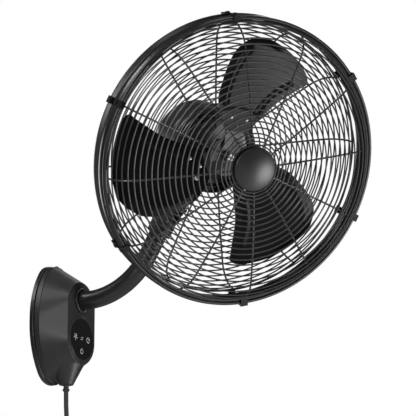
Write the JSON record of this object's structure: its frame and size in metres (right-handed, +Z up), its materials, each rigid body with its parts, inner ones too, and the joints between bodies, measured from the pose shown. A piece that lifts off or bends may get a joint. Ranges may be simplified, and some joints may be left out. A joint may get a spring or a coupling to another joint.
{
  "type": "wall-mounted fan",
  "caption": "Wall-mounted fan: a caged rotor in a drum on a tilting, oscillating head, held by a bent tube arm on a tapered wall housing with touch controls and a supply cord.",
  "frame": {"origin": "centre of the wall plate's back face, on the wall", "axes": "+Y into the wall, +Z up, +X to the right when facing the wall"},
  "size_m": [0.4855, 0.6315, 0.9302],
  "materials": {
    "satin_black_metal": "satin powder coat",
    "wire_black": "satin powder coat on wire",
    "blade_black": "satin powder coat on sheet",
    "housing_black": "fine matte moulding",
    "cast_black": "satin powder coat on casting",
    "lens_black": "polished",
    "badge_black": "satin",
    "zinc_screw": "zinc plated",
    "black_screw": "blackened steel",
    "steel": "turned",
    "bronze": "plain bearing bronze",
    "nylon": "natural",
    "laminations": "stacked sheet",
    "winding": "enamelled wire",
    "board_green": "circuit board",
    "rubber_black": "soft cable rubber",
    "brass_pin": "plated",
    "tie_black": "cable tie"
  },
  "bodies": {
    "wall_side": {"wall_plate": "satin_black_metal", "pod_housing": "housing_black", "housing_screws": "black_screw", "tube_socket": "cast_black", "socket_screws": "zinc_screw", "tube_collar": "housing_black", "arm_tube": "satin_black_metal", "arm_knuckle": "cast_black", "knuckle_screw": "black_screw", "tilt_bolt": "black_screw", "tilt_knob": "housing_black", "friction_washers": "nylon", "control_lens": "lens_black", "control_board": "board_green", "touch_springs": "steel", "power_board": "board_green", "board_standoffs": "nylon", "cord_gland": "rubber_black", "cord_run": "rubber_black", "cord_coil": "rubber_black", "cord_tie": "tie_black", "plug_body": "rubber_black", "plug_pins": "brass_pin"},
    "neck": {"tilt_neck": "cast_black", "swivel_post": "steel", "swivel_gear": "nylon", "post_circlip": "steel", "thrust_washer": "nylon"},
    "head": {"gearbox_housing": "cast_black", "swivel_bush": "bronze", "osc_motor": "steel", "motor_frame": "cast_black", "rear_end_plate": "cast_black", "front_end_plate": "cast_black", "motor_bearings": "steel", "stator_core": "laminations", "stator_windings": "winding", "motor_bolts": "zinc_screw", "motor_rear_cover": "housing_black", "motor_front_cover": "housing_black", "rear_grille": "wire_black", "grille_screws": "black_screw", "front_grille": "wire_black", "badge_cap": "badge_black", "shroud_ring": "satin_black_metal", "front_clips": "satin_black_metal", "rear_clips": "satin_black_metal", "clip_screws": "black_screw"},
    "drive_pinion": {"osc_pinion": "nylon"},
    "rotor": {"motor_shaft": "steel", "rotor_core": "laminations", "hub_spider": "blade_black", "blade_1": "blade_black", "blade_2": "blade_black", "blade_3": "blade_black", "blade_rivets": "zinc_screw", "hub_nut": "black_screw"}
  },
  "joints": [
    {"name": "tilt", "type": "hinge", "parent": "wall_side", "child": "neck", "pos_m": [0, -0.2644, 0.199], "axis": [-1, 0, 0], "range_deg": [-10, 40]},
    {"name": "oscillation", "type": "hinge", "parent": "neck", "child": "head", "pos_m": [0, -0.3269, 0.30726], "axis": [0, -0.5, 0.866], "range_deg": [-15, 75]},
    {"name": "drive_gear", "type": "hinge", "parent": "head", "child": "drive_pinion", "pos_m": [0.01425, -0.30553, 0.3196], "axis": [0, -0.5, 0.866], "range_deg": [-26, 129]},
    {"name": "fan_spin", "type": "hinge", "parent": "head", "child": "rotor", "pos_m": [0, -0.3269, 0.30726], "axis": [-0.5, -0.75, -0.433], "continuous": true}
  ],
  "couplings": [
    {"joint": "drive_gear", "follows": "oscillation", "ratio": 1.7143}
  ]
}
